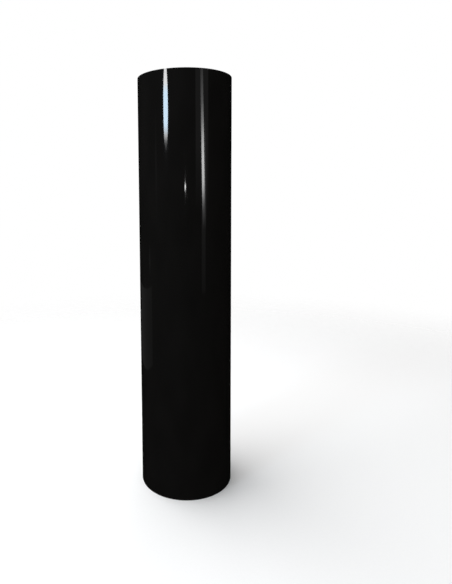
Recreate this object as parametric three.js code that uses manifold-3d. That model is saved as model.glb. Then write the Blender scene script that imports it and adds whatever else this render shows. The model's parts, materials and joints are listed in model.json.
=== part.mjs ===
// Roll of sign vinyl, standing on one end.
//
// A strip of glossy black film on a paper release liner, the web, is wound film side out on a
// paperboard core. The web's loose end is the tail. Its last quarter turn is cut into short
// segments that hinge on one another, so that it can unwind, and the film at its edge is cut
// into shorter ones, so that it can peel back from the liner. Three tapes close the tail. The
// half of each that lies on the film is cut where the film is, and the half that lies on the
// roll is a tab that lifts. A moulded plug closes each end of the core.
//
// Millimetres and degrees. +Z is up along the roll's axis, and the origin is the centre of the
// lower end. Angles run anticlockwise from +X, seen from above, and -Y is the front.

import * as THREE from "three";
import { mergeVertices } from "three/addons/utils/BufferGeometryUtils.js";
import Module from "manifold-3d";

const wasm = await Module();
wasm.setup();

// ---- Driving dimensions ----------------------------------------------------------------------

// Roll
const WEB_WIDTH = 609.6; // 24 in, the height of the roll as it stands
const ROLL_DIAMETER = 139.8; // twice the radius at the tail's edge, where the roll is largest

// Web. The film and the liner are each drawn thicker than the real ones.
const FILM_THICKNESS = 0.35;
const LINER_THICKNESS = 0.35;
const LAY_GAP = 0.2; // between one layer and the next

// Core
const CORE_BORE = 76.2; // 3 in
const CORE_WALL = 6.0;
const CORE_RECESS = 1.6; // how far each end of the core lies inside the end of the roll
const CORE_FIT_GAP = 0.3; // between the core and the first turn

// Starting tape, which holds the first turn on the core
const START_TAPE_WIDTH = 25;
const START_TAPE_THICKNESS = 0.3;
const START_TAPE_END_MARGIN = 12; // from each end of the roll

// Tail
const TAIL_EDGE_ANGLE = 135; // where the web ends, at the back of the roll
const TAIL_SEGMENTS = 6;
const TAIL_SEGMENT_ANGLE = 15;
const SLIT = 0.4; // between one segment and the next

// Film that peels back from the liner, at the tail's edge
const PEEL_SEGMENTS = 3;
const PEEL_SEGMENT_ANGLE = 4;

// Closing tapes
const TAPE_NAMES = ["lower", "middle", "upper"];
const TAPE_WIDTH = 25; // along the roll
const TAPE_THICKNESS = 0.3;
const TAPE_END_MARGIN = 40; // from each end of the roll to the nearest tape
const TAB_LENGTH = 20; // past the tail's edge, on the roll
const TAB_STEP_LENGTH = 2.4; // where the tab comes down from the tail to the roll
const TAPE_SLIT = 0.8; // between one part of a tape and the next

// Core plugs
const PLUG_CLEARANCE = 0.3; // between the skirt and the bore
const PLUG_DEPTH = 24; // from the lip's underside to the skirt's end
const PLUG_WALL = 1.8;
const PLUG_FLOOR = 2;
const PLUG_LIP_OVERHANG = 3.6; // how far the lip reaches over the core's end
const PLUG_LIP_THICKNESS = 1.2;
const PLUG_SEAT_GAP = 0.2; // between the lip and the core's end
const PLUG_LEAD_IN = 1.4; // chamfer at the skirt's end
const PLUG_VENT_DIAMETER = 9;
const PLUG_HUB_WALL = 2;
const PLUG_RIBS = 6;
const PLUG_RIB_THICKNESS = 1.6;
const PLUG_RIB_HEIGHT = 7;

// Core label
const LABEL_HEIGHT = 90;
const LABEL_LENGTH = 60; // round the bore
const LABEL_THICKNESS = 0.25;
const LABEL_GAP = 0.2; // between the label and the wall of the bore
const LABEL_BELOW_PLUG = 18;
const LABEL_ANGLE = 90; // where its middle is

// Facets
const FACET_ANGLE = 3; // one facet of every layer of the web
const PLUG_FACETS = 60;

// ---- Worked out ------------------------------------------------------------------------------

const PITCH = FILM_THICKNESS + LINER_THICKNESS + 2 * LAY_GAP; // the web's growth in radius in a turn
const CORE_OUTER_RADIUS = CORE_BORE / 2 + CORE_WALL;
const PLUG_RADIUS = CORE_BORE / 2 - PLUG_CLEARANCE;
const TAIL_ANGLE = TAIL_SEGMENTS * TAIL_SEGMENT_ANGLE;
const PEEL_ANGLE = PEEL_SEGMENTS * PEEL_SEGMENT_ANGLE;
const FULL_TURN = 360;

// The web's last turn runs from 0 to 360 degrees of its own angle, which ends at the tail's edge.
// Each layer is a spiral: its radius grows by one pitch in a turn.
const grown = (turnAngle) => (PITCH * (turnAngle - FULL_TURN)) / FULL_TURN;
const filmOutside = (a) => ROLL_DIAMETER / 2 + grown(a);
const filmInside = (a) => filmOutside(a) - FILM_THICKNESS;
const linerOutside = (a) => filmInside(a) - LAY_GAP;
const linerInside = (a) => linerOutside(a) - LINER_THICKNESS;
const turnsOutside = (a) => linerInside(a) - LAY_GAP;
const tapeInside = (a) => filmOutside(a) + LAY_GAP;

// ---- Materials -------------------------------------------------------------------------------

const finish = (color, roughness) =>
  new THREE.MeshStandardMaterial({ color, roughness, metalness: 0 });
const blackFilm = finish(0x0b0b0c, 0.12);
const releaseLiner = finish(0xe9e6dc, 0.55);
const woundEdges = finish(0x2c2b2a, 0.45);
const paperboard = finish(0xa98559, 0.85);
const clearTape = finish(0xd9dcd8, 0.2);
const startTape = finish(0xd8cfa8, 0.6);
const mouldedPlug = finish(0xd6d5cd, 0.45);
const labelPaper = finish(0xf2f1ec, 0.7);

// ---- Shapes ----------------------------------------------------------------------------------

const radians = THREE.MathUtils.degToRad;
const arcAngle = (length, radius) => THREE.MathUtils.radToDeg(length / radius);

function polar(radius, angle) {
  return new THREE.Vector2(radius * Math.cos(radians(angle)), radius * Math.sin(radians(angle)));
}

// The angles from one end to the other, with every whole facet between them.
function facetAngles(from, to) {
  const angles = [from];
  const nearEnd = 0.05 * FACET_ANGLE;
  const first = Math.ceil((from + nearEnd) / FACET_ANGLE);
  for (let i = first; i * FACET_ANGLE < to - nearEnd; i++) angles.push(i * FACET_ANGLE);
  angles.push(to);
  return angles;
}

// A line round the roll whose radius is a function of the angle.
const line = (radiusAt, from, to) => facetAngles(from, to).map((a) => polar(radiusAt(a), a));

// The outline of a layer between two such lines.
function layerShape(inside, outside, from, to) {
  return new THREE.Shape([...line(outside, from, to), ...line(inside, from, to).reverse()]);
}

function circle(radius) {
  return line(() => radius, 0, FULL_TURN).slice(0, -1);
}

const raised = (shape, height) =>
  new THREE.ExtrudeGeometry(shape, { depth: height, bevelEnabled: false, steps: 1 });

// A geometry as a solid that can be joined to others, and back.
function solidOf(geometry) {
  const bare = new THREE.BufferGeometry();
  const loose = geometry.index ? geometry.toNonIndexed() : geometry;
  bare.setAttribute("position", loose.getAttribute("position"));
  const merged = mergeVertices(bare, 1e-4);
  return new wasm.Manifold(
    new wasm.Mesh({
      numProp: 3,
      vertProperties: merged.attributes.position.array,
      triVerts: new Uint32Array(merged.index.array),
    }),
  );
}

function geometryOf(solid) {
  const mesh = solid.getMesh();
  const geometry = new THREE.BufferGeometry();
  geometry.setAttribute("position", new THREE.BufferAttribute(mesh.vertProperties, 3));
  geometry.setIndex(new THREE.BufferAttribute(mesh.triVerts, 1));
  geometry.computeVertexNormals();
  return geometry;
}

function named(name, geometry, material, height = 0) {
  const mesh = new THREE.Mesh(geometry, material);
  mesh.name = name;
  mesh.position.z = height;
  return mesh;
}

// ---- Core ------------------------------------------------------------------------------------

function coreTube() {
  const shape = new THREE.Shape(circle(CORE_OUTER_RADIUS));
  shape.holes.push(new THREE.Path(circle(CORE_BORE / 2)));
  const length = WEB_WIDTH - 2 * CORE_RECESS;
  return named("core_tube", raised(shape, length), paperboard, CORE_RECESS);
}

// The label lies on the wall of the bore, below the upper plug.
function coreLabel() {
  const outside = CORE_BORE / 2 - LABEL_GAP;
  const half = arcAngle(LABEL_LENGTH, outside) / 2;
  const shape = layerShape(
    () => outside - LABEL_THICKNESS,
    () => outside,
    LABEL_ANGLE - half,
    LABEL_ANGLE + half,
  );
  const top = WEB_WIDTH - CORE_RECESS - PLUG_DEPTH - LABEL_BELOW_PLUG;
  return named("core_label", raised(shape, LABEL_HEIGHT), labelPaper, top - LABEL_HEIGHT);
}

// The starting tape lies on the core where the first turn begins, in a pocket in that turn.
const startTapeInside = CORE_OUTER_RADIUS + CORE_FIT_GAP;
const startTapeOutside = startTapeInside + START_TAPE_THICKNESS;
const startTapeHalf = arcAngle(START_TAPE_WIDTH, startTapeInside) / 2;

function startingTape() {
  const shape = layerShape(
    () => startTapeInside,
    () => startTapeOutside,
    -startTapeHalf,
    startTapeHalf,
  );
  const height = WEB_WIDTH - 2 * START_TAPE_END_MARGIN;
  return named("starting_tape", raised(shape, height), startTape, START_TAPE_END_MARGIN);
}

// ---- Wound web -------------------------------------------------------------------------------

// The turns under the last one are one solid. Its outside is the spiral that the last turn lies
// on, with a step where that turn begins, and its bore has the pocket for the starting tape.
function woundTurns() {
  const bore = CORE_OUTER_RADIUS + CORE_FIT_GAP;
  const pocket = startTapeOutside + CORE_FIT_GAP;
  const pocketHalf = startTapeHalf + arcAngle(CORE_FIT_GAP, bore);
  const shape = new THREE.Shape(line(turnsOutside, 0, FULL_TURN));
  shape.holes.push(
    new THREE.Path([
      ...line(() => pocket, -pocketHalf, pocketHalf),
      ...line(() => bore, pocketHalf, FULL_TURN - pocketHalf),
    ]),
  );
  return named("wound_turns", raised(shape, WEB_WIDTH), woundEdges);
}

// A length of one layer of the last turn, short of its two ends by half a slit.
function layerLength(name, inside, outside, from, to, material) {
  const trim = arcAngle(SLIT / 2, ROLL_DIAMETER / 2);
  const shape = layerShape(inside, outside, from + trim, to - trim);
  return named(name, raised(shape, WEB_WIDTH), material);
}

const filmLength = (name, from, to) =>
  layerLength(name, filmInside, filmOutside, from, to, blackFilm);
const linerLength = (name, from, to) =>
  layerLength(name, linerInside, linerOutside, from, to, releaseLiner);

// ---- Tail ------------------------------------------------------------------------------------

const tailStart = FULL_TURN - TAIL_ANGLE;
const peelStart = FULL_TURN - PEEL_ANGLE;

// Each segment's group holds the next one, as each hangs on the one before it.
function tail() {
  const whole = new THREE.Group();
  let holder = whole;
  for (let i = 0; i < TAIL_SEGMENTS; i++) {
    const from = tailStart + i * TAIL_SEGMENT_ANGLE;
    const to = from + TAIL_SEGMENT_ANGLE;
    const segment = new THREE.Group();
    segment.add(filmLength(`tail_film_${i + 1}`, from, Math.min(to, peelStart)));
    segment.add(linerLength(`tail_liner_${i + 1}`, from, to));
    holder.add(segment);
    holder = segment;
  }
  for (let i = 0; i < PEEL_SEGMENTS; i++) {
    const from = peelStart + i * PEEL_SEGMENT_ANGLE;
    const to = from + PEEL_SEGMENT_ANGLE;
    const segment = new THREE.Group();
    segment.add(filmLength(`peel_film_${i + 1}`, from, to));
    segment.add(...tapeRow(`part_${i + 1}`, tapePartShape(from, to)));
    holder.add(segment);
    holder = segment;
  }
  const tabs = new THREE.Group();
  tabs.add(...tapeRow("tab", tabShape()));
  holder.add(tabs);
  return whole;
}

// ---- Closing tapes ---------------------------------------------------------------------------

const tapeTrim = arcAngle(TAPE_SLIT / 2, ROLL_DIAMETER / 2);

// The same part of every tape, each at its own height up the roll.
function tapeRow(part, shape) {
  const geometry = raised(shape, TAPE_WIDTH);
  const spacing = (WEB_WIDTH - 2 * TAPE_END_MARGIN - TAPE_WIDTH) / (TAPE_NAMES.length - 1);
  return TAPE_NAMES.map((name, i) =>
    named(`${name}_tape_${part}`, geometry, clearTape, TAPE_END_MARGIN + i * spacing),
  );
}

// The part of a tape that lies on one peeling segment.
function tapePartShape(from, to) {
  const outside = (a) => tapeInside(a) + TAPE_THICKNESS;
  return layerShape(tapeInside, outside, from + tapeTrim, to - tapeTrim);
}

// The tab comes down past the tail's edge, by the height of one turn, and lies on the roll.
function tabShape() {
  const stepAngle = arcAngle(TAB_STEP_LENGTH, ROLL_DIAMETER / 2);
  const from = FULL_TURN + tapeTrim;
  const stepEnd = FULL_TURN + stepAngle;
  const to = FULL_TURN + arcAngle(TAB_LENGTH, ROLL_DIAMETER / 2);
  const stepped = (a) => Math.min((a - FULL_TURN) / stepAngle, 1);
  const inside = (a) => tapeInside(a) - PITCH * stepped(a);
  const outside = (a) => inside(a) + TAPE_THICKNESS;
  const along = (radiusAt) => [
    polar(radiusAt(from), from),
    ...line(radiusAt, stepEnd, to),
  ];
  return new THREE.Shape([...along(outside), ...along(inside).reverse()]);
}

// ---- Core plugs ------------------------------------------------------------------------------

// A cup with a lip over the core's end. The cup's floor is at its inner end, with a vent through
// a short hub, and ribs run from the hub to the skirt. The lip's underside is at zero height.
function plugGeometry() {
  const lip = PLUG_RADIUS + PLUG_CLEARANCE + PLUG_LIP_OVERHANG;
  const inside = PLUG_RADIUS - PLUG_WALL;
  const floor = PLUG_FLOOR - PLUG_DEPTH;
  const hub = PLUG_VENT_DIAMETER / 2 + PLUG_HUB_WALL;
  const hubTop = floor + PLUG_RIB_HEIGHT;
  const profile = [
    [PLUG_VENT_DIAMETER / 2, -PLUG_DEPTH],
    [PLUG_RADIUS - PLUG_LEAD_IN, -PLUG_DEPTH],
    [PLUG_RADIUS, PLUG_LEAD_IN - PLUG_DEPTH],
    [PLUG_RADIUS, 0],
    [lip, 0],
    [lip, PLUG_LIP_THICKNESS],
    [inside, PLUG_LIP_THICKNESS],
    [inside, floor],
    [hub, floor],
    [hub, hubTop],
    [PLUG_VENT_DIAMETER / 2, hubTop],
  ].map(([r, z]) => new THREE.Vector2(r, z));
  profile.push(profile[0].clone());
  const cup = new THREE.LatheGeometry(profile, PLUG_FACETS).rotateX(Math.PI / 2);
  let solid = solidOf(cup);
  const ribInner = hub - PLUG_HUB_WALL / 2;
  const ribOuter = inside + PLUG_WALL / 2;
  for (let i = 0; i < PLUG_RIBS; i++) {
    const rib = new THREE.BoxGeometry(
      ribOuter - ribInner,
      PLUG_RIB_THICKNESS,
      PLUG_RIB_HEIGHT + PLUG_FLOOR / 2,
    )
      .translate((ribInner + ribOuter) / 2, 0, hubTop - (PLUG_RIB_HEIGHT + PLUG_FLOOR / 2) / 2)
      .rotateZ((2 * Math.PI * i) / PLUG_RIBS);
    solid = solid.add(solidOf(rib));
  }
  return geometryOf(solid);
}

function corePlugs() {
  const geometry = plugGeometry();
  const seat = CORE_RECESS - PLUG_SEAT_GAP;
  const upper = named("upper_core_plug", geometry, mouldedPlug, WEB_WIDTH - seat);
  const lower = named("lower_core_plug", geometry, mouldedPlug, seat);
  lower.rotation.x = Math.PI;
  return [upper, lower];
}

// ---- The roll --------------------------------------------------------------------------------

const web = new THREE.Group();
web.rotation.z = radians(TAIL_EDGE_ANGLE);
web.add(
  woundTurns(),
  startingTape(),
  filmLength("outer_film_turn", 0, tailStart),
  linerLength("outer_liner_turn", 0, tailStart),
  tail(),
);

const roll = new THREE.Group();
roll.add(coreTube(), coreLabel(), web, ...corePlugs());

export default roll;
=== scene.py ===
"""The looks of a roll of black sign vinyl that stands on one end, built around its CAD frame.

Everything is in metres, in the frame's own axes: +Z up along the roll, -Y towards the viewer.
The web is a strip of film on a release liner, wound film side out. It is laid out by its own
angle, in degrees, which grows along the web to the edge of its loose end, the tail: one turn
back is 360 less, and an angle's direction round the roll is the same as that of a compass angle
measured anticlockwise from +X.
"""

import json

import bpy
import numpy as np
from mathutils import Matrix, Vector


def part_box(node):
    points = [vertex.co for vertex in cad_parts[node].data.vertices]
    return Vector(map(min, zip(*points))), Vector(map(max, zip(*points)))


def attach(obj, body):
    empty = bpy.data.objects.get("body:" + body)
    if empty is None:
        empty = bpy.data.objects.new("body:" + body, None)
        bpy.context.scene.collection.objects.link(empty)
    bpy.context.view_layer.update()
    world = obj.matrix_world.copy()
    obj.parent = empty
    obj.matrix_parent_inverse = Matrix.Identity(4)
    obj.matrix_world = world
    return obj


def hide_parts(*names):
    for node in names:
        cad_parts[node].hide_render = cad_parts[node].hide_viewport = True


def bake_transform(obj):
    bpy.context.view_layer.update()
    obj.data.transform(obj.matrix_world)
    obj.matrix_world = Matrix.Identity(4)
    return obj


bl_info = {
    "name": "Sign vinyl roll",
    "version": (1, 0, 0),
    "blender": (4, 5, 0),
    "location": "3D View > Sidebar > Vinyl Roll",
    "description": "Builds a roll of black sign vinyl around its CAD frame, and its studio",
    "category": "Add Mesh",
}

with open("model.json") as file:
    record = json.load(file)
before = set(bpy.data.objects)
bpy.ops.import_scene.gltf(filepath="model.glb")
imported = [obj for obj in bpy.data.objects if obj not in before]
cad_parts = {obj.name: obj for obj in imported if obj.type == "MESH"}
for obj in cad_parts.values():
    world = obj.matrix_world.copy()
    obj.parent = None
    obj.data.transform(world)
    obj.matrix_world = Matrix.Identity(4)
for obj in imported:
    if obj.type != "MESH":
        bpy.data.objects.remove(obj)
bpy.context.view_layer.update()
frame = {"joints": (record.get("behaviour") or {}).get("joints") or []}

MM = 0.001

# ---- Places read from the frame ----

JOINTS = {joint["name"]: joint for joint in frame["joints"]}
TAPES = ("lower", "middle", "upper")


def hinge_angle(name):
    """A hinge's angle on the web, in degrees."""
    x, y, _ = JOINTS[name]["pos_m"]
    return float(np.degrees(np.arctan2(y, x)))


def node_radius(name):
    """A round node's radius, from its box."""
    low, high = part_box(name)
    return (high.x - low.x) / 2


ROLL_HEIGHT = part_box("wound_turns")[1].z
EDGE_ANGLE = hinge_angle("middle_tab_lift")
TAIL_ANGLES = [hinge_angle(f"tail_bend_{i}") for i in range(1, 7)]
PEEL_ANGLES = [hinge_angle(f"peel_bend_{i}") for i in range(1, 4)]
TAPE_BOXES = [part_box(f"{name}_tape_tab") for name in TAPES]
TAPE_MIDDLES = [(low.z + high.z) / 2 for low, high in TAPE_BOXES]
CORE_RADIUS = node_radius("core_tube")
CORE_ENDS = [corner.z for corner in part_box("core_tube")]
LABEL_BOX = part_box("core_label")


# ---- Settings ----


def linear(hex_colour):
    """An sRGB hex colour as linear RGBA."""
    value = np.array([int(hex_colour[i : i + 2], 16) for i in (1, 3, 5)]) / 255
    light = np.where(value <= 0.04045, value / 12.92, ((value + 0.055) / 1.055) ** 2.4)
    return (*(float(x) for x in light), 1.0)


class VinylRollSizes(bpy.types.PropertyGroup):
    """Sizes of the web, the core, the plugs and the tapes."""

    film: bpy.props.FloatProperty(
        name="Film", description="Thickness of the film with its adhesive",
        default=0.10 * MM, unit="LENGTH",
    )
    liner: bpy.props.FloatProperty(
        name="Liner", description="Thickness of the release liner",
        default=0.14 * MM, unit="LENGTH",
    )
    wander: bpy.props.FloatProperty(
        name="Wander", description="How far a turn's edge strays from the roll's end",
        default=0.16 * MM, unit="LENGTH",
    )
    lift: bpy.props.FloatProperty(
        name="Lift", description="How far the tail's edge stands off the roll between the tapes",
        default=0.7 * MM, unit="LENGTH",
    )
    tape: bpy.props.FloatProperty(
        name="Tape", description="Thickness of the closing tapes",
        default=0.06 * MM, unit="LENGTH",
    )
    core_bore: bpy.props.FloatProperty(
        name="Core bore", description="Inner diameter of the core",
        default=76.2 * MM, unit="LENGTH",
    )
    plug_wall: bpy.props.FloatProperty(
        name="Plug wall", description="Thickness of a plug's skirt and floor",
        default=1.8 * MM, unit="LENGTH",
    )


class VinylRollColours(bpy.types.PropertyGroup):
    """Colours of the materials that a user would change."""

    film: bpy.props.FloatVectorProperty(
        name="Film", description="Colour of the film", subtype="COLOR",
        default=linear("#181716")[:3], min=0, max=1,
    )
    plug: bpy.props.FloatVectorProperty(
        name="Plugs", description="Colour of the core plugs", subtype="COLOR",
        default=linear("#c5c4bd")[:3], min=0, max=1,
    )
    floor: bpy.props.FloatVectorProperty(
        name="Floor", description="Colour of the floor", subtype="COLOR",
        default=linear("#f3f3f3")[:3], min=0, max=1,
    )


def sizes():
    return bpy.context.scene.vinyl_roll_sizes


def colours():
    return bpy.context.scene.vinyl_roll_colours


# ---- The web's shape ----

LAY_GAP = 0.005 * MM  # air between one layer and the next
START_TAPE = 0.1 * MM  # thickness of the tape that starts the winding
CORE_FIT = 0.02 * MM  # air between the core and the first turn
MEAN_ANGLE = -90.0  # where the spiral has the mean of the radii that give a round node its width


def lay_pitch():
    """The web's growth in radius in one turn."""
    return sizes().film + sizes().liner + 2 * LAY_GAP


def film_radius(angle):
    """Radius of the film's outer face: a spiral that grows by one pitch in a turn, and has the
    CAD roll's mean radius at the mean angle."""
    return node_radius("outer_film_turn") + lay_pitch() * (np.asarray(angle) - MEAN_ANGLE) / 360


def core_start_angle():
    """The angle at which the spiral leaves the core: film_radius the other way round."""
    inside = CORE_RADIUS + CORE_FIT + START_TAPE + lay_pitch()
    return float(MEAN_ANGLE + 360 * (inside - node_radius("outer_film_turn")) / lay_pitch())


def swell(angle, height):
    """Gentle unevenness of a hand-tight winding: the sum of three long waves, in metres."""
    turn = np.radians(angle)
    rise = height / ROLL_HEIGHT
    return MM * (
        0.045 * np.sin(2 * turn + 2.2 * rise + 0.6)
        + 0.03 * np.sin(3 * turn - 5.1 * rise + 2.0)
        + 0.02 * np.sin(13.0 * rise + 1.3)
    )


def wander(angle):
    """How far a turn's edge strays up or down: two waves out of step with the turns."""
    turns = np.asarray(angle) / 360
    stray = 0.62 * np.sin(2 * np.pi * 0.3820 * turns) + 0.38 * np.sin(2 * np.pi * 0.1459 * turns)
    return sizes().wander * stray


def smooth_step(value):
    """0 below 0, 1 above 1, and the cubic 3x^2 - 2x^3 between."""
    held = np.clip(value, 0, 1)
    return held * held * (3 - 2 * held)


def tail_lift(angle, height):
    """How far the web springs off the roll: a smooth step up to the tail's edge, times a flat
    bell round each tape that holds it down."""
    reach, hold = 16.0, 38 * MM
    near_edge = smooth_step((angle - (EDGE_ANGLE - reach)) / reach)
    gaps = [1 - np.exp(-(((height - middle) / hold) ** 4)) for middle in TAPE_MIDDLES]
    return sizes().lift * near_edge * np.prod(gaps, axis=0)


def polar(radius, angle, height):
    """Points at a radius, a compass angle in degrees and a height."""
    turn = np.radians(angle)
    return np.stack(np.broadcast_arrays(radius * np.cos(turn), radius * np.sin(turn), height), -1)


def web_point(angle, height, depth):
    """A point of the web, at a depth below the film's outer face: the spiral's radius less the
    depth, with the swell and the lift added, and its height with the turn's wander."""
    radius = film_radius(angle) - depth + swell(angle, height) + tail_lift(angle, height)
    return polar(radius, angle, height + wander(angle))


def web_heights(rows):
    """Rows up the web, which stays inside the roll's two ends wherever it wanders."""
    margin = sizes().wander
    return np.linspace(margin, ROLL_HEIGHT - margin, rows)


# ---- Meshes ----

SHARP_ANGLE = 35.0  # degrees between faces, past which a turned piece's edge is sharp


def make_piece(name, points, faces, materials, uv=None, face_material=None):
    """A mesh object at the origin, from arrays of points and faces."""
    mesh = bpy.data.meshes.new(name)
    mesh.from_pydata(points.reshape(-1, 3).tolist(), [], faces.tolist())
    for finish in materials:
        mesh.materials.append(finish)
    if face_material is not None:
        mesh.polygons.foreach_set("material_index", face_material.astype(np.int32))
    if uv is not None:
        corners = np.empty(len(mesh.loops), np.int32)
        mesh.loops.foreach_get("vertex_index", corners)
        layer = mesh.uv_layers.new(name="web")
        layer.uv.foreach_set("vector", uv.reshape(-1, 2)[corners].astype(np.float32).ravel())
    mesh.polygons.foreach_set("use_smooth", np.ones(len(mesh.polygons), bool))
    mesh.update()
    piece = bpy.data.objects.new(name, mesh)
    bpy.context.scene.collection.objects.link(piece)
    return piece


def grid_faces(index):
    """Quads between the neighbours of a grid of point numbers, first axis then second."""
    corners = [index[:-1, :-1], index[1:, :-1], index[1:, 1:], index[:-1, 1:]]
    return np.stack(corners, -1).reshape(-1, 4)


def face_normals(point, angle, height):
    """The outward normals of a face given as a function, from its slopes along and up."""
    step_angle, step_height = 0.02, 0.05 * MM
    along = point(angle + step_angle, height) - point(angle - step_angle, height)
    up = point(angle, height + step_height) - point(angle, height - step_height)
    normal = np.cross(along, up)
    return normal / np.linalg.norm(normal, axis=-1, keepdims=True)


def strip_piece(name, outside, inside, angle, height, materials, slot):
    """A closed strip of two faces, each a function of an angle and a height, and four edges.

    angle and height are grids of the same shape, angles along the first axis. The materials are
    the outside's, the inside's and the edges', and the UV map holds metres along and up. The
    faces' normals come from their functions, so that they run on from one piece to the next, and
    an edge's are square to it.
    """
    angle, height = np.broadcast_arrays(angle, height)
    out = np.arange(angle.size).reshape(angle.shape)
    back = out + angle.size
    rims = [
        np.stack([out[:, -1], back[:, -1]], 1),
        np.stack([back[:, 0], out[:, 0]], 1),
        np.stack([back[0], out[0]], 1)[::-1],
        np.stack([out[-1], back[-1]], 1)[::-1],
    ]
    parts = [grid_faces(grid) for grid in (out, back.T, *rims)]
    kinds = np.concatenate([np.full(len(part), min(i, 2)) for i, part in enumerate(parts)])
    points = np.concatenate([face(angle, height).reshape(-1, 3) for face in (outside, inside)])
    along = np.radians(angle) * film_radius(EDGE_ANGLE)
    uv = np.tile(np.stack([along, height], -1).reshape(-1, 2), (2, 1))
    piece = make_piece(name, points, np.concatenate(parts), materials, uv, kinds)
    outward = face_normals(outside, angle, height).reshape(-1, 3)
    inward = -face_normals(inside, angle, height).reshape(-1, 3)
    rim_faces = np.concatenate(parts[2:])
    diagonals = [points[rim_faces[:, i + 2]] - points[rim_faces[:, i]] for i in (0, 1)]
    flat = np.cross(*diagonals)
    flat /= np.linalg.norm(flat, axis=-1, keepdims=True)
    corner_normals = np.concatenate([
        np.concatenate([outward, inward])[np.concatenate(parts[:2]).ravel()],
        np.repeat(flat, 4, axis=0),
    ])
    piece.data.normals_split_custom_set(corner_normals.tolist())
    return piece


def lathe_piece(name, points, materials):
    """A closed ring of columns: points is a grid, columns round the axis by points round the
    closed profile, which runs anticlockwise in the plane of radius and height."""
    columns, steps, _ = points.shape
    index = np.arange(columns * steps).reshape(columns, steps)
    index = np.pad(index, ((0, 1), (0, 1)), mode="wrap")
    piece = make_piece(name, points, grid_faces(index), materials)
    piece.data.set_sharp_from_angle(angle=np.radians(SHARP_ANGLE))
    return piece


def arc_points(centre, radius, start, end, steps):
    """Points of an arc in the plane of radius and height, from one angle in degrees to another."""
    turn = np.radians(np.linspace(start, end, steps))
    return np.stack([centre[0] + radius * np.cos(turn), centre[1] + radius * np.sin(turn)], -1)


# ---- Materials ----


def set_inputs(tree, node, inputs):
    """Sets a node's inputs from values, sockets, or nodes, which stand for their first output."""
    for key, value in inputs.items():
        if isinstance(value, bpy.types.Node):
            value = value.outputs[0]
        if isinstance(value, bpy.types.NodeSocket):
            tree.links.new(value, node.inputs[key])
        else:
            node.inputs[key].default_value = value


def add(tree, kind, inputs=None, stops=(), **settings):
    """Adds a node with its settings, its inputs and, for a ramp, its stops."""
    node = tree.nodes.new(kind)
    for name, value in settings.items():
        setattr(node, name, value)
    for i, (place, colour) in enumerate(stops):
        elements = node.color_ramp.elements
        element = elements[i] if i < 2 else elements.new(place)
        element.position, element.color = place, colour
    set_inputs(tree, node, inputs or {})
    return node


def start_material(name, **finish):
    """A new material, its node tree, and its shader with the values that are the same all over."""
    material = bpy.data.materials.new(name)
    material.use_nodes = True
    shader = material.node_tree.nodes["Principled BSDF"]
    set_inputs(material.node_tree, shader, {k.replace("_", " "): v for k, v in finish.items()})
    return material, material.node_tree, shader


def grey(value):
    return (value, value, value, 1.0)


def shades(colour, *shares):
    """A colour made darker or lighter, once for each share."""
    return [(*(x * share for x in colour), 1.0) for share in shares]


def cells(*lengths):
    """A pattern's scale along each axis, from the lengths of its cells in millimetres."""
    return tuple(1 / (length * MM) for length in lengths)


def calendered_pvc():
    """Calendered PVC film, gloss: black and mirror-smooth. The rolls of the calender leave waves
    a few millimetres long, and the winding leaves longer ones, both too low to see but for a
    slight swim in the highlights."""
    material, tree, shader = start_material("calendered_pvc_film_gloss_black", IOR=1.53)
    uv = add(tree, "ShaderNodeUVMap", uv_map="web")
    fine = add(tree, "ShaderNodeTexNoise", {
        "Vector": add(tree, "ShaderNodeMapping", {"Vector": uv, "Scale": cells(5, 3, 1)}),
        "Scale": 1.0, "Detail": 1.0,
    })
    broad = add(tree, "ShaderNodeTexNoise", {
        "Vector": add(tree, "ShaderNodeMapping", {"Vector": uv, "Scale": cells(28, 70, 1)}),
        "Scale": 1.0, "Detail": 1.0,
    })
    waves = add(tree, "ShaderNodeMath", {0: broad, 1: 90.0, 2: fine}, operation="MULTIPLY_ADD")
    low, high = shades(colours().film, 0.9, 1.1)
    set_inputs(tree, shader, {
        "Normal": add(tree, "ShaderNodeBump", {"Height": waves, "Distance": 0.0004 * MM}),
        "Base Color": add(tree, "ShaderNodeValToRGB", {"Fac": broad}, ((0.3, low), (0.7, high))),
        "Roughness": add(
            tree, "ShaderNodeValToRGB", {"Fac": fine}, ((0.3, grey(0.048)), (0.7, grey(0.06)))
        ),
    })
    return material


def adhesive_side():
    """Acrylic adhesive on the film's back: grey and tacky, with the pebbled skin that it takes
    from its liner, 1.5 mm across."""
    material, tree, shader = start_material(
        "acrylic_adhesive_coated_grey", IOR=1.47, Roughness=0.3, Coat_Weight=0.4,
    )
    uv = add(tree, "ShaderNodeUVMap", uv_map="web")
    pebble = add(tree, "ShaderNodeTexVoronoi", {
        "Vector": add(tree, "ShaderNodeMapping", {"Vector": uv, "Scale": cells(1.5, 1.5, 1)}),
        "Scale": 1.0,
    })
    set_inputs(tree, shader, {
        "Base Color": add(
            tree, "ShaderNodeValToRGB", {"Fac": pebble},
            ((0.0, linear("#2b2c2e")), (0.9, linear("#3b3c3f"))),
        ),
        "Normal": add(tree, "ShaderNodeBump", {"Height": pebble, "Distance": 0.03 * MM}),
    })
    return material


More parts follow.
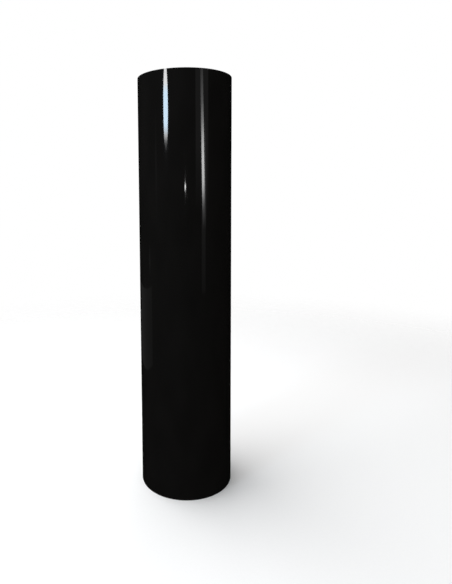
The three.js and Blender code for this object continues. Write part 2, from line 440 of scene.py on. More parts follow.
def release_paper(name, dark, light, roughness, coat):
    """Clay-coated release paper: pale, with fibre clouds 4 mm across and a fine tooth, drawn at
    0.9 mm to show. Its silicone side has a thin satin coat, and its back is bare."""
    material, tree, shader = start_material(name, IOR=1.5, Coat_Weight=coat, Coat_Roughness=0.25)
    uv = add(tree, "ShaderNodeUVMap", uv_map="web")
    cloud = add(tree, "ShaderNodeTexNoise", {
        "Vector": add(tree, "ShaderNodeMapping", {"Vector": uv, "Scale": cells(4, 2.5, 1)}),
        "Scale": 1.0, "Detail": 5.0,
    })
    tooth = add(tree, "ShaderNodeTexNoise", {
        "Vector": add(tree, "ShaderNodeMapping", {"Vector": uv, "Scale": cells(0.9, 0.5, 1)}),
        "Scale": 1.0, "Detail": 3.0,
    })
    set_inputs(tree, shader, {
        "Base Color": add(
            tree, "ShaderNodeValToRGB", {"Fac": cloud}, ((0.3, linear(dark)), (0.7, linear(light)))
        ),
        "Roughness": add(
            tree, "ShaderNodeValToRGB", {"Fac": tooth},
            ((0.3, grey(roughness - 0.06)), (0.7, grey(roughness))),
        ),
        "Normal": add(tree, "ShaderNodeBump", {"Height": tooth, "Distance": 0.01 * MM}),
    })
    return material


def slit_edge(name, dark, light):
    """A web's slit edge: matt, with knife drag every 2 mm along it. Slack and tight winding
    show as rings a few turns wide, whose tone drifts with the length of web wound."""
    material, tree, shader = start_material(name, Roughness=0.5)
    uv = add(tree, "ShaderNodeUVMap", uv_map="web")
    along = add(tree, "ShaderNodeSeparateXYZ", {"Vector": uv})
    turns = 1 / (2 * np.pi * float(film_radius(EDGE_ANGLE)))
    bands = add(tree, "ShaderNodeTexNoise", {
        "W": add(tree, "ShaderNodeMath", {0: along, 1: turns}, operation="MULTIPLY"),
        "Scale": 0.45, "Detail": 3.0, "Roughness": 0.7,
    }, noise_dimensions="1D")
    drag = add(tree, "ShaderNodeTexNoise", {
        "W": add(tree, "ShaderNodeMath", {0: along, 1: cells(2)[0]}, operation="MULTIPLY"),
        "Scale": 1.0, "Detail": 4.0,
    }, noise_dimensions="1D")
    both = add(tree, "ShaderNodeMix", {0: 0.3, 2: bands.outputs[0], 3: drag.outputs[0]})
    set_inputs(tree, shader, {
        "Base Color": add(
            tree, "ShaderNodeValToRGB", {"Fac": both}, ((0.36, linear(dark)), (0.62, linear(light)))
        ),
    })
    return material


def kraft_board():
    """Spiral-wound kraft paperboard: warm brown with long fibres, and a butt seam that climbs the
    tube by its ply's width, 90 mm, in each turn."""
    material, tree, shader = start_material(
        "kraft_paperboard_spiral_wound", IOR=1.5, Roughness=0.8,
    )
    place = add(tree, "ShaderNodeTexCoord").outputs["Object"]
    fibre = add(tree, "ShaderNodeTexNoise", {
        "Vector": add(tree, "ShaderNodeMapping", {"Vector": place, "Scale": cells(1.2, 1.2, 3)}),
        "Scale": 1.0, "Detail": 6.0, "Roughness": 0.62,
    })
    blotch = add(tree, "ShaderNodeTexNoise", {
        "Vector": add(tree, "ShaderNodeMapping", {"Vector": place, "Scale": cells(22, 22, 22)}),
        "Scale": 1.0, "Detail": 2.0,
    })
    both = add(tree, "ShaderNodeMix", {0: 0.4, 2: fibre.outputs[0], 3: blotch.outputs[0]})
    tone = add(tree, "ShaderNodeValToRGB", {"Fac": both}, (
        (0.32, linear("#8f6a42")), (0.5, linear("#ad8458")), (0.7, linear("#c79d6e")),
    ))
    axes = add(tree, "ShaderNodeSeparateXYZ", {"Vector": place})
    around = add(tree, "ShaderNodeMath", {0: axes.outputs["Y"], 1: axes}, operation="ARCTAN2")
    share = add(tree, "ShaderNodeMath", {0: around, 1: 2 * np.pi}, operation="DIVIDE")
    climb = add(
        tree, "ShaderNodeMath", {0: axes.outputs["Z"], 1: cells(90)[0], 2: share},
        operation="MULTIPLY_ADD",
    )
    phase = add(tree, "ShaderNodeMath", {0: climb}, operation="FRACT")
    seam = add(tree, "ShaderNodeValToRGB", {"Fac": phase}, (
        (0.0, grey(1)), (0.008, grey(0)), (0.995, grey(0)), (1.0, grey(1)),
    ))
    colour = add(
        tree, "ShaderNodeMix", {0: seam, 6: tone, 7: linear("#5f4328")}, data_type="RGBA"
    )
    height = add(tree, "ShaderNodeMath", {0: seam, 1: -3.0, 2: fibre}, operation="MULTIPLY_ADD")
    set_inputs(tree, shader, {
        "Base Color": colour.outputs[2],
        "Normal": add(tree, "ShaderNodeBump", {"Height": height, "Distance": 0.05 * MM}),
    })
    return material


def moulded_polyethylene():
    """Injection-moulded polyethylene, unpigmented: milky and waxy. Its mould's eroded texture is
    0.8 mm across, and handling has left it slightly duller in places."""
    material, tree, shader = start_material(
        "polyethylene_injection_moulded_natural", IOR=1.51,
        Subsurface_Weight=0.25, Subsurface_Scale=2 * MM,
    )
    place = add(tree, "ShaderNodeTexCoord").outputs["Object"]
    texture = add(tree, "ShaderNodeTexNoise", {
        "Vector": add(tree, "ShaderNodeMapping", {"Vector": place, "Scale": cells(0.8, 0.8, 0.8)}),
        "Scale": 1.0, "Detail": 3.0,
    })
    scuff = add(tree, "ShaderNodeTexNoise", {
        "Vector": add(tree, "ShaderNodeMapping", {"Vector": place, "Scale": cells(11, 7, 9)}),
        "Scale": 1.0, "Detail": 5.0,
    })
    low, high = shades(colours().plug, 0.93, 1.03)
    set_inputs(tree, shader, {
        "Base Color": add(tree, "ShaderNodeValToRGB", {"Fac": scuff}, ((0.3, low), (0.7, high))),
        "Roughness": add(
            tree, "ShaderNodeValToRGB", {"Fac": scuff}, ((0.3, grey(0.5)), (0.7, grey(0.36)))
        ),
        "Normal": add(tree, "ShaderNodeBump", {"Height": texture, "Distance": 0.02 * MM}),
    })
    return material


def packing_tape(name, clear, cloudy):
    """Oriented polypropylene tape: clear, so that mostly what lies under it shows, with a soft
    gloss and cloudy spots, 2.6 mm by 1.3 mm, where its adhesive has not wetted."""
    material, tree, shader = start_material(name, IOR=1.49)
    uv = add(tree, "ShaderNodeUVMap", uv_map="web")
    spots = add(tree, "ShaderNodeTexNoise", {
        "Vector": add(tree, "ShaderNodeMapping", {"Vector": uv, "Scale": cells(2.6, 1.3, 1)}),
        "Scale": 1.0, "Detail": 4.0,
    })
    creases = add(tree, "ShaderNodeTexNoise", {
        "Vector": add(tree, "ShaderNodeMapping", {"Vector": uv, "Scale": cells(9, 3, 1)}),
        "Scale": 1.0, "Detail": 2.0,
    })
    set_inputs(tree, shader, {
        "Base Color": add(
            tree, "ShaderNodeValToRGB", {"Fac": spots},
            ((0.35, linear("#b4b5af")), (0.7, linear("#c6c7c0"))),
        ),
        "Alpha": add(
            tree, "ShaderNodeValToRGB", {"Fac": spots}, ((0.5, grey(clear)), (0.72, grey(cloudy)))
        ),
        "Roughness": add(
            tree, "ShaderNodeValToRGB", {"Fac": spots}, ((0.4, grey(0.12)), (0.7, grey(0.3)))
        ),
        "Normal": add(tree, "ShaderNodeBump", {"Height": creases, "Distance": 0.06 * MM}),
    })
    return material


def crepe_tape():
    """Crepe paper masking tape: straw-coloured, with creases 0.7 mm apart up its width."""
    material, tree, shader = start_material("crepe_paper_masking_tape", Roughness=0.75)
    uv = add(tree, "ShaderNodeUVMap", uv_map="web")
    crease = add(tree, "ShaderNodeTexNoise", {
        "Vector": add(tree, "ShaderNodeMapping", {"Vector": uv, "Scale": cells(4, 0.7, 1)}),
        "Scale": 1.0, "Detail": 3.0,
    })
    set_inputs(tree, shader, {
        "Base Color": add(
            tree, "ShaderNodeValToRGB", {"Fac": crease},
            ((0.3, linear("#cdbd87")), (0.7, linear("#e0d4a6"))),
        ),
        "Normal": add(tree, "ShaderNodeBump", {"Height": crease, "Distance": 0.08 * MM}),
    })
    return material


def printed_label():
    """Machine-coated label paper, white, with fibre clouds 0.8 mm across. Its black print is an
    attribute of the mesh."""
    material, tree, shader = start_material("label_paper_coated_printed", IOR=1.5, Roughness=0.6)
    ink = add(tree, "ShaderNodeAttribute", attribute_name="ink").outputs["Fac"]
    place = add(tree, "ShaderNodeTexCoord").outputs["Object"]
    fibre = add(tree, "ShaderNodeTexNoise", {
        "Vector": add(tree, "ShaderNodeMapping", {"Vector": place, "Scale": cells(0.8, 0.8, 0.8)}),
        "Scale": 1.0, "Detail": 3.0,
    })
    paper = add(
        tree, "ShaderNodeValToRGB", {"Fac": fibre},
        ((0.3, linear("#e6e4dd")), (0.7, linear("#f5f4ef"))),
    )
    colour = add(tree, "ShaderNodeMix", {0: ink, 6: paper, 7: linear("#1d1d1f")}, data_type="RGBA")
    set_inputs(tree, shader, {"Base Color": colour.outputs[2]})
    return material


FLOOR_SOLID, FLOOR_CLEAR = 0.5, 1.5  # metres from the roll's axis


def studio_floor():
    """Painted board, matt and nearly white, with a roller texture 3 mm across. It thins out with
    distance, so that it has no horizon."""
    material, tree, shader = start_material("painted_board_matt_white", Roughness=0.9)
    place = add(tree, "ShaderNodeTexCoord").outputs["Object"]
    roller = add(tree, "ShaderNodeTexNoise", {
        "Vector": add(tree, "ShaderNodeMapping", {"Vector": place, "Scale": cells(3, 3, 3)}),
        "Scale": 1.0, "Detail": 2.0,
    })
    low, high = shades(colours().floor, 0.985, 1.0)
    away = add(tree, "ShaderNodeVectorMath", {0: place}, operation="LENGTH").outputs["Value"]
    set_inputs(tree, shader, {
        "Base Color": add(tree, "ShaderNodeValToRGB", {"Fac": roller}, ((0.3, low), (0.7, high))),
        "Alpha": add(tree, "ShaderNodeMapRange", {
            "Value": away, "From Min": FLOOR_SOLID, "From Max": FLOOR_CLEAR,
            "To Min": 1.0, "To Max": 0.0,
        }, interpolation_type="SMOOTHSTEP"),
    })
    return material


_made = {}


def shared(make, *arguments):
    """The material that a function makes from some arguments, made once and then shared."""
    key = (make.__name__, arguments)
    if key not in _made:
        _made[key] = make(*arguments)
    return _made[key]


def film_materials():
    return [
        shared(calendered_pvc),
        shared(adhesive_side),
        shared(slit_edge, "pvc_slit_edge_black", "#0b0b0c", "#262627"),
    ]


def liner_materials():
    return [
        shared(release_paper, "silicone_release_paper_satin", "#e6e3d8", "#efede4", 0.4, 0.5),
        shared(release_paper, "release_paper_back_uncoated", "#dfdccf", "#eae8de", 0.75, 0.0),
        shared(slit_edge, "paper_slit_edge_white", "#aeaba0", "#e6e4da"),
    ]


def tape_materials():
    faces = shared(packing_tape, "polypropylene_tape_clear", 0.14, 0.2)
    return [faces, faces, shared(packing_tape, "polypropylene_tape_cut_edge", 0.6, 0.8)]


# ---- Pieces of the web ----


def web_face(depth):
    """A face of the web, at a depth below the film's outer face."""
    return lambda angle, height: web_point(angle, height, depth)


def web_length(name, layer, start, end, columns, rows):
    """A length of the film or of the liner, from one angle to another."""
    outside, thickness, materials, slot = {
        "film": (0.0, sizes().film, film_materials, "black_film"),
        "liner": (sizes().film + LAY_GAP, sizes().liner, liner_materials, "release_liner"),
    }[layer]
    faces = web_face(outside), web_face(outside + thickness)
    angle = np.linspace(start, end, columns + 1)[:, None]
    height = web_heights(rows)[None, :]
    return strip_piece(name, *faces, angle, height, materials(), slot)


def middles(angles):
    return [(a + b) / 2 for a, b in zip(angles, angles[1:])]


def bend_across(piece, low, high):
    """Bakes a piece's transform into its mesh. It works out the web's points at two angles, one to
    each side of a hinge, but does not use them.
    """
    start, end = (Vector(polar(film_radius(a), a, 0.0)) for a in (low, high))
    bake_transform(piece)


def tail_start():
    """Where the first tail piece begins: half a segment before the first hinge."""
    return TAIL_ANGLES[0] - (TAIL_ANGLES[1] - TAIL_ANGLES[0]) / 2


def peel_start():
    """Where the film's first peeling piece begins: halfway between the hinges before and in it."""
    return (TAIL_ANGLES[-1] + PEEL_ANGLES[0]) / 2


FIRST_HIDDEN = -330.0  # under the fixed web, a turn back: the fine outer turn begins here
WOUND_STEP = 4  # degrees in a facet of the inner turns
FINE_ROWS = 49  # up the web, where it shows
TAIL_REACH, PEEL_REACH = 7.0, 1.8  # degrees to each side of a hinge that a length may reach
TAIL_COLUMNS, PEEL_COLUMNS = 30, 24  # along each length


class VINYLROLL_OT_wound_web(bpy.types.Operator):
    """Wind the inner turns: film and liner in one spiral, with too many turns to draw finely, so
    each has 90 facets"""

    bl_idname = "vinylroll.wound_web"
    bl_label = "Wound Web"

    def execute(self, context):
        start = core_start_angle()
        for layer, end, node in (
            ("film", FIRST_HIDDEN, "wound_turns"),
            ("liner", tail_start(), "outer_liner_turn"),
        ):
            columns = int((end - start) / WOUND_STEP)
            piece = web_length(f"wound_{layer}", layer, start, end, columns, 2)
            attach(piece, "roll")
            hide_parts(node)
        return {"FINISHED"}


class VINYLROLL_OT_outer_turn(bpy.types.Operator):
    """Lay the outer turn of film, the skin that shows, in steps of a degree"""

    bl_idname = "vinylroll.outer_turn"
    bl_label = "Outer Turn"

    def execute(self, context):
        end = tail_start()
        columns = int(end - FIRST_HIDDEN)
        piece = web_length("outer_film", "film", FIRST_HIDDEN, end, columns, FINE_ROWS)
        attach(piece, "roll")
        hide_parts("outer_film_turn")
        return {"FINISHED"}


def hinged_lengths(layer, label, hinges, bounds, most_reach, columns):
    """Lays lengths of the film or the liner, each across one hinge, and works out how far it
    reaches to both sides of it. They meet halfway between hinges."""
    for i, hinge in enumerate(hinges):
        start, stop = bounds[i], bounds[i + 1]
        name = f"{label}_{layer}_piece_{i + 1}"
        piece = web_length(name, layer, start, stop, columns, FINE_ROWS)
        reach = min(most_reach, stop - hinge, hinge - start)
        bend_across(piece, hinge - reach, hinge + reach)
        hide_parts(f"{label}_{layer}_{i + 1}")


class VINYLROLL_OT_tail(bpy.types.Operator):
    """Lay the tail, in lengths that each span one hinge and meet halfway between hinges"""

    bl_idname = "vinylroll.tail"
    bl_label = "Tail"

    def execute(self, context):
        starts = [tail_start()] + middles(TAIL_ANGLES)
        for layer, end in (("film", peel_start()), ("liner", EDGE_ANGLE)):
            hinged_lengths(
                layer, "tail", TAIL_ANGLES, starts + [end], TAIL_REACH, TAIL_COLUMNS
            )
        return {"FINISHED"}


class VINYLROLL_OT_peel(bpy.types.Operator):
    """Lay the film's last lengths, up to the tail's edge, one across each peel hinge"""

    bl_idname = "vinylroll.peel"
    bl_label = "Peeling Film"

    def execute(self, context):
        bounds = [peel_start()] + middles(PEEL_ANGLES) + [EDGE_ANGLE]
        hinged_lengths("film", "peel", PEEL_ANGLES, bounds, PEEL_REACH, PEEL_COLUMNS)
        return {"FINISHED"}


# ---- Closing tapes ----

TAPE_LIFT = 0.02 * MM  # air under a tape
TAPE_EDGE, TAPE_STEP = 0.1, 2.2  # degrees past the tail's edge where a tape starts down, and on
TAPE_START = 0.5  # degrees from the first peeling hinge to a tape's first end
TAB_LENGTH = 20 * MM  # past the tail's edge, on the roll
TAB_BEND = 3.6  # degrees that a tape's length reaches across its hinge, back and ahead together
TOOTH_PITCH, TOOTH_DEPTH = 2 * MM, 0.6 * MM  # of the dispenser's blade, on a tape's cut ends
TAPE_COLUMNS, TAPE_ROWS = 25, 101  # 8 rows to a tooth


def tape_face(above):
    """A face of a tape, so far above the web under it: the tail as far as the edge, and past it
    the turn below, with a short slope between the two."""

    def face(angle, height):
        down = smooth_step((angle - EDGE_ANGLE - TAPE_EDGE) / TAPE_STEP)
        on_web = film_radius(angle) + swell(angle, height)
        lifted = tail_lift(np.minimum(angle, EDGE_ANGLE), height) * (1 - down)
        radius = on_web + lifted - lay_pitch() * down + above
        return polar(radius, angle, height)

    return face


def tape_piece(name, start, end, box, teeth):
    """A length of one tape. A cut end has the teeth of a dispenser's blade, as a triangle wave
    along the cut. teeth says, for the start and the end, 1 where it is cut and 0 where not."""
    height = np.linspace(box[0].z, box[1].z, TAPE_ROWS)[None, :]
    steps = np.linspace(0, 1, TAPE_COLUMNS)[:, None]
    depth = float(np.degrees(TOOTH_DEPTH / film_radius(EDGE_ANGLE)))
    wave = depth * 2 * np.abs((height / TOOTH_PITCH) % 1 - 0.5)
    angle = start + wave * teeth[0] * (1 - steps) + (end - start - wave * teeth[1]) * steps
    inside = tape_face(TAPE_LIFT)
    outside = tape_face(TAPE_LIFT + sizes().tape)
    return strip_piece(name, outside, inside, angle, height, tape_materials(), "clear_tape")


class VINYLROLL_OT_closing_tapes(bpy.types.Operator):
    """Stick three short tapes over the tail's edge, each in lengths that span one hinge"""

    bl_idname = "vinylroll.closing_tapes"
    bl_label = "Closing Tapes"

    def execute(self, context):
        hinges = PEEL_ANGLES[1:] + [EDGE_ANGLE]
        tab = float(np.degrees(TAB_LENGTH / film_radius(EDGE_ANGLE)))
        bounds = [PEEL_ANGLES[0] + TAPE_START] + middles(hinges) + [EDGE_ANGLE + tab]
        last = len(hinges) - 1
        for name, box in zip(TAPES, TAPE_BOXES):
            nodes = [f"{name}_tape_part_{i}" for i in range(1, 4)] + [f"{name}_tape_tab"]
            groups = [nodes[:2], nodes[2:3], nodes[3:]]
            for i, hinge in enumerate(hinges):
                start, stop = bounds[i], bounds[i + 1]
                teeth = (int(i == 0), int(i == last))
                piece = tape_piece(f"{name}_tape_piece_{i + 1}", start, stop, box, teeth)
                back = min(PEEL_REACH, hinge - start) if i < last else 0.0  # a tab only reaches ahead
                ahead = min(TAB_BEND - back, stop - hinge)
                bend_across(piece, hinge - back, hinge + ahead)
                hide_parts(*groups[i])
        return {"FINISHED"}


# ---- Core ----

CORE_COLUMNS = 180
CORE_PLIES = 10
CORE_BEVEL = 0.35 * MM  # at the rims of the sawn ends
PLY_STEP = 0.07 * MM  # from a ply's sawn end to the next one's
START_TAPE_WIDTH = 25 * MM
LABEL_PAPER, LABEL_FIT = 0.09 * MM, 0.03 * MM  # its thickness, and the air behind it
LABEL_CORNER = 4 * MM
LABEL_ANGLE = 90.0  # where its middle is round the bore
LABEL_COLUMNS, LABEL_ROWS = 139, 61  # fine enough for its print


def round_face(radius):
    """A face that lies on a cylinder round the roll's axis."""
    return lambda angle, height: polar(radius, angle, height)


class VINYLROLL_OT_core(bpy.types.Operator):
    """Turn the paperboard core: a bevelled rectangle's profile carried round the axis, whose sawn
    ends show the plies as fine steps"""

    bl_idname = "vinylroll.core"
    bl_label = "Core"

    def execute(self, context):
        inner, outer = sizes().core_bore / 2, CORE_RADIUS
        low, high = CORE_ENDS
        rims = np.linspace(inner + CORE_BEVEL, outer - CORE_BEVEL, CORE_PLIES + 1)
        radius = np.repeat(rims, 2)[1:-1]
        step = np.tile([0.0, 0.0, PLY_STEP, PLY_STEP], CORE_PLIES)[: len(radius)]
        profile = np.concatenate([
            [[inner, low + CORE_BEVEL]],
            np.stack([radius, low + step], -1),
            [[outer, low + CORE_BEVEL], [outer, high - CORE_BEVEL]],
            np.stack([radius[::-1], high - step[::-1]], -1),
            [[inner, high - CORE_BEVEL]],
        ])
        angle = np.linspace(0, 360, CORE_COLUMNS, endpoint=False)[:, None]
        points = polar(profile[:, 0], angle, profile[:, 1])
        piece = lathe_piece("paperboard_core", points, [shared(kraft_board)])
        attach(piece, "roll")
        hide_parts("core_tube")
        return {"FINISHED"}


class VINYLROLL_OT_starting_tape(bpy.types.Operator):
    """Lay the tape that starts the winding, between the core and the first turn"""

    bl_idname = "vinylroll.starting_tape"
    bl_label = "Starting Tape"

    def execute(self, context):
        low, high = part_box("starting_tape")
        half = np.degrees(START_TAPE_WIDTH / 2 / CORE_RADIUS)
        angle = np.linspace(EDGE_ANGLE - half, EDGE_ANGLE + half, 25)[:, None]
        height = np.linspace(low.z, high.z, 9)[None, :]
        back = CORE_RADIUS + CORE_FIT / 2
        piece = strip_piece(
            "crepe_starting_tape", round_face(back + START_TAPE), round_face(back), angle, height,
            [shared(crepe_tape)] * 3, "starting_tape",
        )
        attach(piece, "roll")
        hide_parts("starting_tape")
        return {"FINISHED"}


def label_ink(across, up):
    """1 where the label is printed: a block of bars of uneven width, and two rules. across and
    up are shares of its width and height."""
    bar = (np.floor(across * 46) * 7.31 + np.floor(across * 23) * 3.7) % 1.9 > 0.95
    block = (across > 0.14) & (across < 0.86) & (up > 0.12) & (up < 0.42)
    rules = (np.abs(up - 0.52) < 0.006) | (np.abs(up - 0.86) < 0.018)
    inside = (across > 0.08) & (across < 0.92)
    return (bar & block) | (rules & inside)


class VINYLROLL_OT_core_label(bpy.types.Operator):
    """Stick the label on the wall of the bore, printed side inwards: a rectangle bent round the
    wall, whose columns near its sides are shortened by the quarter circles of its corners"""

    bl_idname = "vinylroll.core_label"
    bl_label = "Core Label"

    def execute(self, context):
        low, high = LABEL_BOX
        wall = sizes().core_bore / 2
        half = np.degrees(np.arcsin((high.x - low.x) / 2 / wall))
        across = np.linspace(0, 1, LABEL_COLUMNS)[:, None]
        up = np.linspace(0, 1, LABEL_ROWS)[None, :]
        angle = LABEL_ANGLE - half + 2 * half * across
        from_end = np.minimum(across, 1 - across) * 2 * np.radians(half) * wall
        short = np.clip(LABEL_CORNER - from_end, 0, LABEL_CORNER)
        inset = LABEL_CORNER - np.sqrt(LABEL_CORNER**2 - short**2)
        height = low.z + inset + (high.z - low.z - 2 * inset) * up
        back = wall - LABEL_FIT
        piece = strip_piece(
            "bore_label", round_face(back), round_face(back - LABEL_PAPER), angle, height,
            [shared(printed_label)] * 3, "label_paper",
        )
        ink = label_ink(1 - across + 0 * up, up + 0 * across).astype(np.float32).ravel()
        printed = np.concatenate([np.zeros_like(ink), ink])
        piece.data.attributes.new("ink", "FLOAT", "POINT").data.foreach_set("value", printed)
        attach(piece, "roll")
        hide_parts("core_label")
        return {"FINISHED"}


# ---- Core plugs ----

PLUG_LIP = 1.2 * MM
PLUG_FIT = 0.3 * MM  # between the skirt and the bore
PLUG_NOSE, PLUG_LEAD = 1.4 * MM, 2.6 * MM  # how much the skirt's end narrows, and over what depth
VENT_RADIUS, HUB_RADIUS = 4.5 * MM, 6.5 * MM
PLUG_ROUND, PLUG_FILLET = 0.5 * MM, 1.0 * MM  # of its outer edges, and of its inner corners
PLUG_RIBS = 6
RIB_HEIGHT, RIB_HALF, RIB_DRAFT = 7 * MM, 0.8 * MM, 0.22 * MM


def plug_paths(lip_radius, depth):
    """The plug's closed profile, with its lip's underside at height 0, in three stretches.

    shell runs up from the vent's inner edge by the outside and the lip to the rib tops inside
    the skirt. Between there and the hub, the floor's path goes down a fillet, along the floor
    and up a fillet, and the rib's path goes straight across at the same height."""
    wall, lip, edge, fillet = sizes().plug_wall, PLUG_LIP, PLUG_ROUND, PLUG_FILLET
    skirt = sizes().core_bore / 2 - PLUG_FIT
    inner = skirt - wall
    vent, hub = VENT_RADIUS, HUB_RADIUS
    floor, rib_top = wall - depth, wall - depth + RIB_HEIGHT
    over_rib = rib_top + 0.2 * MM  # a first step up from the ribs, which keeps their rims crisp
    shell = np.concatenate([
        arc_points((vent + edge, -depth + edge), edge, 180, 270, 4),
        arc_points((skirt - PLUG_NOSE, -depth + edge), edge, 270, 315, 3),
        [[skirt - 0.25 * MM, 1.5 * MM - depth], [skirt, PLUG_LEAD - depth], [skirt, -edge]],
        arc_points((skirt + edge, -edge), edge, 180, 90, 4)[1:],
        arc_points((lip_radius - lip / 2, lip / 2), lip / 2, -90, 90, 8),
        arc_points((inner + edge, lip - edge), edge, 90, 180, 4),
        [[inner, rib_top + 6 * MM], [inner, over_rib]],
    ])
    floor_path = np.concatenate([
        arc_points((inner - fillet, floor + fillet), fillet, 0, -90, 6),
        np.stack([np.linspace(inner - 2 * fillet, hub + 2 * fillet, 9), np.full(9, floor)], -1),
        arc_points((hub + fillet, floor + fillet), fillet, 270, 180, 6),
    ])
    count = len(floor_path)
    rib_path = np.stack([np.linspace(inner, hub, count), np.full(count, rib_top)], -1)
    hub_top = np.concatenate([
        [[hub, over_rib]],
        arc_points((hub - edge, rib_top + edge), edge, 0, 90, 4),
        arc_points((vent + edge, rib_top + edge), edge, 90, 180, 4),
    ])
    return shell, floor_path, rib_path, hub_top


def plug_columns():
    """The columns round a plug: the angle of each one's rib, how far it lies to that rib's side,
    how far it is towards the next rib, and how much of the rib's path it takes. A rib's sides
    lean out by its draft, and its rims are rounded."""
    left = np.array([-RIB_HALF - RIB_DRAFT, -RIB_HALF - 0.04 * MM, -RIB_HALF + 0.18 * MM])
    side = np.concatenate([left, [0], -left[::-1]])
    on_rib = np.array([0, 0.94, 1, 1, 1, 0.94, 0])
    gap = np.linspace(0, 1, 14)[1:-1]
    lateral = np.concatenate([side, np.full(len(gap), side[-1])])
    share = np.concatenate([np.zeros(len(side)), gap])
    weight = np.concatenate([on_rib, np.zeros(len(gap))])
    rib = np.repeat(np.arange(PLUG_RIBS) * 360 / PLUG_RIBS, len(lateral))
    return rib, *(np.tile(x, PLUG_RIBS) for x in (lateral, share, weight))


class VINYLROLL_OT_core_plugs(bpy.types.Operator):
    """Mould the two core plugs: a lipped cup whose floor carries a vented hub and six ribs. Each
    column is the profile turned round the axis, and a rib's stays at its own distance from the
    rib's middle, so that the ribs are straight"""

    bl_idname = "vinylroll.core_plugs"
    bl_label = "Core Plugs"

    def execute(self, context):
        for name, body, node, up in (
            ("upper_plug_moulding", "upper_plug", "upper_core_plug", 1),
            ("lower_plug_moulding", "lower_plug", "lower_core_plug", -1),
        ):
            low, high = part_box(node)
            depth = high.z - low.z - PLUG_LIP
            shell, floor_path, rib_path, hub_top = plug_paths(node_radius(node), depth)
            rib, lateral, share, weight = (x[:, None] for x in plug_columns())
            stretches = [
                np.broadcast_to(shell, (len(rib), *shell.shape)),
                floor_path + weight[..., None] * (rib_path - floor_path),
                np.broadcast_to(hub_top, (len(rib), *hub_top.shape)),
            ]
            profile = np.concatenate(stretches, axis=1)
            radius, rise = profile[..., 0], profile[..., 1]
            tilt = np.degrees(np.arcsin(lateral / radius))
            angle = rib + tilt + share * (360 / PLUG_RIBS - 2 * tilt)
            seat = high.z - PLUG_LIP if up > 0 else low.z + PLUG_LIP
            points = polar(radius, angle * up, seat + up * rise)
            piece = lathe_piece(name, points, [shared(moulded_polyethylene)])
            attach(piece, body)
            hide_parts(node)
        return {"FINISHED"}


# ---- Studio ----

CAMERA_PLACE = Vector((0.0, -0.7421, 0.4366))
CAMERA_PAN, CAMERA_TILT, CAMERA_ROLL = -0.743, 5.187, -0.367  # degrees to the right, down, over
LENS = 30.26  # mm, on a sensor whose long side is 36 mm
SHIFT = (0.0805, -0.0858)
FLOOR_RINGS = (1e-4, FLOOR_SOLID, FLOOR_CLEAR, 6.0)  # radii in metres
STAND_OFF = 1.6  # metres from the roll's axis to the panels round it
AMBIENT = 0.25  # the surroundings' radiance

SKY, CLOUD = linear("#d3ecff"), linear("#e3e3e3")  # through the window
MIDDLE = ((0.0, grey(0.0)), (0.5, grey(1.0)), (1.0, grey(0.0)))  # bright in the middle only

# Each panel's azimuth round the roll in degrees (0 is towards the viewer, 90 to the right), height
# of its middle, width and height in metres, radiance, lean in degrees, and brightness from its
# lower end to its upper. Those in ROUND_PANELS are ellipses.
ROUND_PANELS = ("window_left", "lamp_front")
PANELS = {
    "window_left": (
        -45.0, 0.8375, 0.31, 0.385, 21, 0,
        ((0.0, grey(0.0)), (0.1, grey(0.08)), (0.17, grey(0.45)), (0.28, SKY),
         (0.66, SKY), (0.76, CLOUD)),
    ),
    "strip_right": (
        42.0, 0.675, 0.17, 0.75, 11.2, 12,
        ((0.0, grey(0.0)), (0.11, grey(0.07)), (0.17, grey(0.28)), (0.27, grey(0.9)),
         (0.4, grey(1.0)), (0.52, grey(0.75)), (0.63, grey(0.34)), (0.75, grey(0.13)),
         (1.0, grey(0.01))),
    ),
    "strip_right_surround": (
        40.5, 0.75, 0.9, 0.74, 0.12, 0, ((0.0, grey(0.0)), (0.4, grey(0.9)), (1.0, grey(1.0))),
    ),
    "strip_right_edge": (
        48.5, 0.55, 0.1, 0.5, 0.5, 0, ((0.0, grey(0.1)), (0.4, grey(1.0)), (1.0, grey(0.0))),
    ),
    "strip_right_foot": (44, 0.2, 0.27, 0.4, 0.13, 0, ((0.0, grey(0.3)), (1.0, grey(1.0)))),
    "lamp_front": (0.3, 0.483, 0.09, 0.025, 21, 0, ()),
    "lamp_front_glow": (0.3, 0.483, 0.08, 0.12, 0.6, 0, MIDDLE),
    "door_gap_left": (-72.5, 0.58, 0.1, 0.5, 0.06, 0, MIDDLE),
    "door_gap_left_low": (-97, 0.15, 0.08, 0.16, 0.1, 0, MIDDLE),
    "strip_back": (
        179.3, 0.8, 0.22, 0.7, 5, 0, ((0.0, grey(0.0)), (0.35, grey(1.0)), (1.0, grey(0.3))),
    ),
}

# Each other light's place, the point that it faces, its width and height, and its radiance.
FILLS = {
    "wall_left": ((-0.45, 0.2, 0.12), (0, 0, 0.12), 0.5, 0.2, 0.04),
    "softbox_overhead_left": ((-0.65, 0.15, 2.45), (0, 0, 0.2), 2.2, 2.2, 4.9),
}


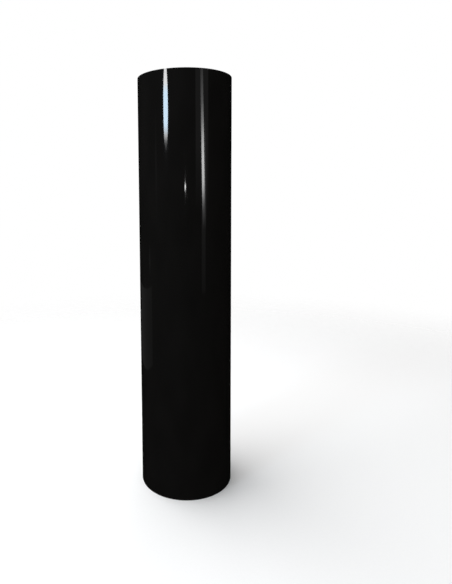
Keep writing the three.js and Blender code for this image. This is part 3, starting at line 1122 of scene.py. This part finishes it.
def hang_light(name, place, aim, wide, tall, radiance, lean=0, stops=(), shape="RECTANGLE"):
    """A panel of light at a place, turned to face a point. Its power is its radiance times its
    area times pi, and its stops are its brightness from its lower edge to its upper."""
    data = bpy.data.lights.new(name, "AREA")
    data.shape = shape
    data.size, data.size_y = wide, tall
    area = wide * tall * (np.pi / 4 if shape == "ELLIPSE" else 1.0)
    data.energy = radiance * area * np.pi
    if stops:
        data.use_nodes = True
        tree = data.node_tree
        across_up = add(tree, "ShaderNodeSeparateXYZ", {
            "Vector": add(tree, "ShaderNodeNewGeometry").outputs["Parametric"],
        })
        glow = add(tree, "ShaderNodeValToRGB", {"Fac": across_up.outputs["Y"]}, stops)
        set_inputs(tree, tree.nodes["Emission"], {"Color": glow})
    light = bpy.data.objects.new(name, data)
    bpy.context.scene.collection.objects.link(light)
    turned = (Vector(place) - Vector(aim)).to_track_quat("Z", "Y").to_matrix().to_4x4()
    leaned = Matrix.Rotation(np.radians(lean), 4, "Z")
    light.matrix_world = Matrix.Translation(place) @ turned @ leaned
    light.visible_camera = False


class VINYLROLL_OT_studio(bpy.types.Operator):
    """Lay the pale floor, hang the lights and set the camera"""

    bl_idname = "vinylroll.studio"
    bl_label = "Studio"

    def execute(self, context):
        scene = context.scene
        self.set_camera(scene)
        self.lay_floor()
        self.light_world(scene)
        self.hang_panels()
        scene.view_settings.view_transform = "Standard"
        return {"FINISHED"}

    def set_camera(self, scene):
        data = bpy.data.cameras.new("camera")
        data.sensor_width, data.lens = 36.0, LENS
        data.shift_x, data.shift_y = SHIFT
        camera = bpy.data.objects.new("camera", data)
        scene.collection.objects.link(camera)
        pan, tilt, roll = np.radians([CAMERA_PAN, CAMERA_TILT, CAMERA_ROLL])
        camera.matrix_world = (
            Matrix.Translation(CAMERA_PLACE)
            @ Matrix.Rotation(-pan, 4, "Z")
            @ Matrix.Rotation(np.pi / 2 - tilt, 4, "X")
            @ Matrix.Rotation(roll, 4, "Z")
        )
        scene.camera = camera

    def lay_floor(self):
        """A disc, as rings of points round the centre, level with the roll's lower end."""
        angle = np.linspace(0, 360, 64, endpoint=False)[:, None]
        rings = polar(np.array(FLOOR_RINGS), angle, 0.0)
        index = np.arange(rings[..., 0].size).reshape(rings.shape[:2])
        faces = grid_faces(np.pad(index, ((0, 1), (0, 0)), mode="wrap"))[:, ::-1]
        floor = make_piece("floor", rings, faces, [shared(studio_floor)])
        floor.visible_glossy = floor.visible_diffuse = False

    def light_world(self, scene):
        """A white cyclorama to the camera, and a dimmer one as the roll's surroundings, which
        the gloss of the film does not show."""
        world = bpy.data.worlds.new("white_cyclorama")
        world.use_nodes = True
        tree = world.node_tree
        seen = add(tree, "ShaderNodeLightPath").outputs["Is Camera Ray"]
        strength = add(tree, "ShaderNodeMapRange", {
            "Value": seen, "To Min": AMBIENT, "To Max": 1.0,
        })
        set_inputs(tree, tree.nodes["Background"], {"Color": grey(1.0), "Strength": strength})
        scene.world = world
        world.cycles_visibility.glossy = False

    def hang_panels(self):
        for name, (azimuth, height, wide, tall, radiance, lean, stops) in PANELS.items():
            a = np.radians(azimuth)
            place = (STAND_OFF * np.sin(a), -STAND_OFF * np.cos(a), height)
            shape = "ELLIPSE" if name in ROUND_PANELS else "RECTANGLE"
            hang_light(name, place, (0, 0, height), wide, tall, radiance, lean, stops, shape)
        for name, settings in FILLS.items():
            hang_light(name, *settings)


# ---- Panel and registration ----

OPERATORS = (
    VINYLROLL_OT_studio,
    VINYLROLL_OT_core,
    VINYLROLL_OT_starting_tape,
    VINYLROLL_OT_core_label,
    VINYLROLL_OT_wound_web,
    VINYLROLL_OT_outer_turn,
    VINYLROLL_OT_tail,
    VINYLROLL_OT_peel,
    VINYLROLL_OT_closing_tapes,
    VINYLROLL_OT_core_plugs,
)


class VINYLROLL_PT_panel(bpy.types.Panel):
    """The roll's operators, sizes and colours"""

    bl_idname = "VINYLROLL_PT_panel"
    bl_label = "Vinyl Roll"
    bl_space_type = "VIEW_3D"
    bl_region_type = "UI"
    bl_category = "Vinyl Roll"

    def draw(self, context):
        for group in (sizes(), colours()):
            for name in group.bl_rna.properties.keys():
                if name not in ("name", "rna_type"):
                    self.layout.prop(group, name)
        for operator in OPERATORS:
            self.layout.operator(operator.bl_idname)


CLASSES = (VinylRollSizes, VinylRollColours, *OPERATORS, VINYLROLL_PT_panel)


def register():
    for each in CLASSES:
        bpy.utils.register_class(each)
    bpy.types.Scene.vinyl_roll_sizes = bpy.props.PointerProperty(type=VinylRollSizes)
    bpy.types.Scene.vinyl_roll_colours = bpy.props.PointerProperty(type=VinylRollColours)


def unregister():
    del bpy.types.Scene.vinyl_roll_colours
    del bpy.types.Scene.vinyl_roll_sizes
    for each in reversed(CLASSES):
        bpy.utils.unregister_class(each)


def main():
    register()
    for operator in OPERATORS:
        group, name = operator.bl_idname.split(".")
        getattr(getattr(bpy.ops, group), name)()


if __name__ == "__main__":
    main()
